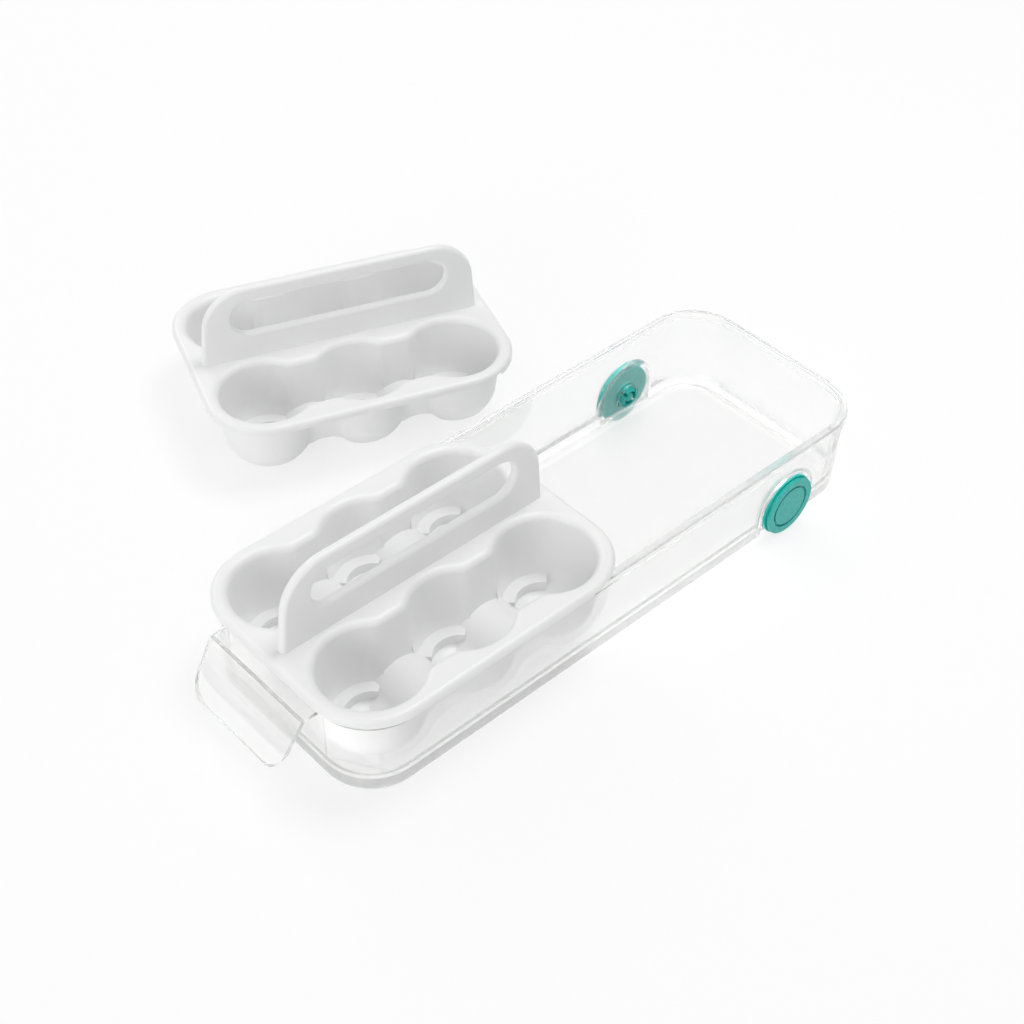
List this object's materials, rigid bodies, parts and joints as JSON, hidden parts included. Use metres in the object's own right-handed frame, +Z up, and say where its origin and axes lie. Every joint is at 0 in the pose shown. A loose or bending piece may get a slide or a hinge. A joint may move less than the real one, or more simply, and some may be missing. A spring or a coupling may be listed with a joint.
{
  "type": "wheeled egg keeper bin",
  "caption": "Long clear refrigerator bin with rear wheels and a pull flap, holding lift-out egg trays with slotted carry handles.",
  "frame": {"origin": "on the surface that the bin and the second tray stand on, under the middle of the whole set", "axes": "+X to the bin's right, +Y towards its wheels (the pull flap is at -Y), +Z up"},
  "size_m": [0.278, 0.3158, 0.0868],
  "materials": {
    "clear_bin": "clear, polished",
    "wheel": "teal, satin gloss",
    "tray": "white, satin"
  },
  "bodies": {
    "bin": {"bin_body": "clear_bin"},
    "wheel_right": {"wheel_right": "wheel"},
    "wheel_left": {"wheel_left": "wheel"},
    "tray_seated": {"egg_tray_seated": "tray"},
    "tray_loose": {"egg_tray_loose": "tray"}
  },
  "joints": [
    {"name": "wheel_right_spin", "type": "hinge", "parent": "bin", "child": "wheel_right", "pos_m": [0.13804, 0.1082, 0.015], "axis": [1, 0, 0], "continuous": true},
    {"name": "wheel_left_spin", "type": "hinge", "parent": "bin", "child": "wheel_left", "pos_m": [0.02804, 0.1082, 0.015], "axis": [1, 0, 0], "continuous": true},
    {"name": "tray_seated_lift", "type": "slide", "parent": "bin", "child": "tray_seated", "axis": [0, 0, 1], "range_m": [0, 0.08]},
    {"name": "tray_loose_lift", "type": "slide", "parent": "bin", "child": "tray_loose", "axis": [0, 0, 1], "range_m": [0, 0.08]}
  ]
}
